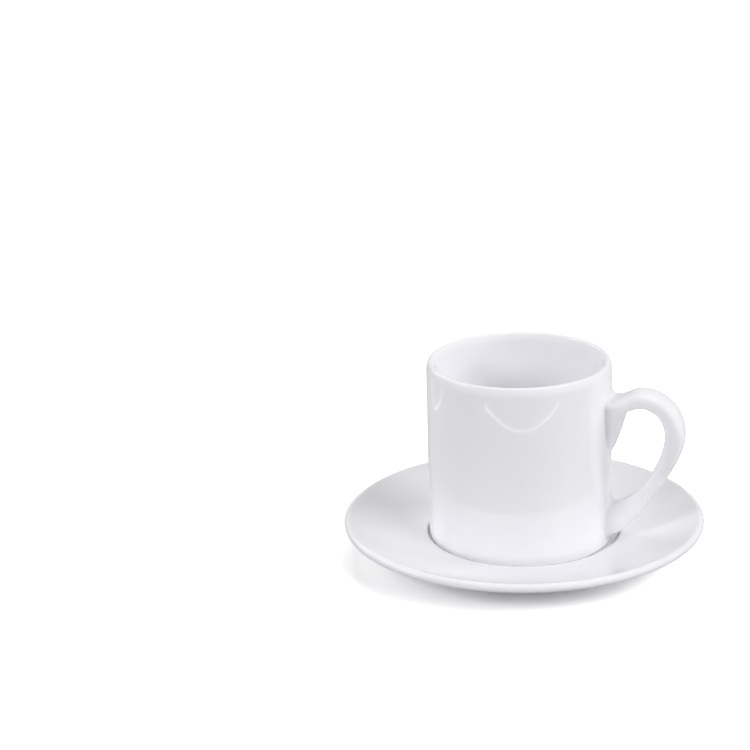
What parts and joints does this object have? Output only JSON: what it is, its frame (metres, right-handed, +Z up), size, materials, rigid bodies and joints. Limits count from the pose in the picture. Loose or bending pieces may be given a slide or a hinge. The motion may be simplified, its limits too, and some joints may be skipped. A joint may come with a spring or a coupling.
{
  "type": "turkish coffee cup with saucer",
  "caption": "Straight-walled cylindrical coffee cup with a rounded lip and an ear-shaped handle, standing in the shallow well of a round saucer that catches drips.",
  "frame": {"origin": "centre of the saucer's foot ring, on the table", "axes": "+Z up, +X towards the handle of the cup, +Y away from a viewer who has the handle at the right"},
  "size_m": [0.118, 0.118, 0.0661],
  "materials": {
    "white_glaze": "clear gloss glaze over white porcelain, bare and matt on the rings that it stands on"
  },
  "bodies": {
    "saucer": {"saucer": "white_glaze"},
    "cup": {"cup_body": "white_glaze", "cup_handle": "white_glaze"}
  },
  "joints": [
    {"name": "cup_lift", "type": "slide", "parent": "saucer", "child": "cup", "axis": [0, 0, 1], "range_m": [0, 0.07]}
  ]
}
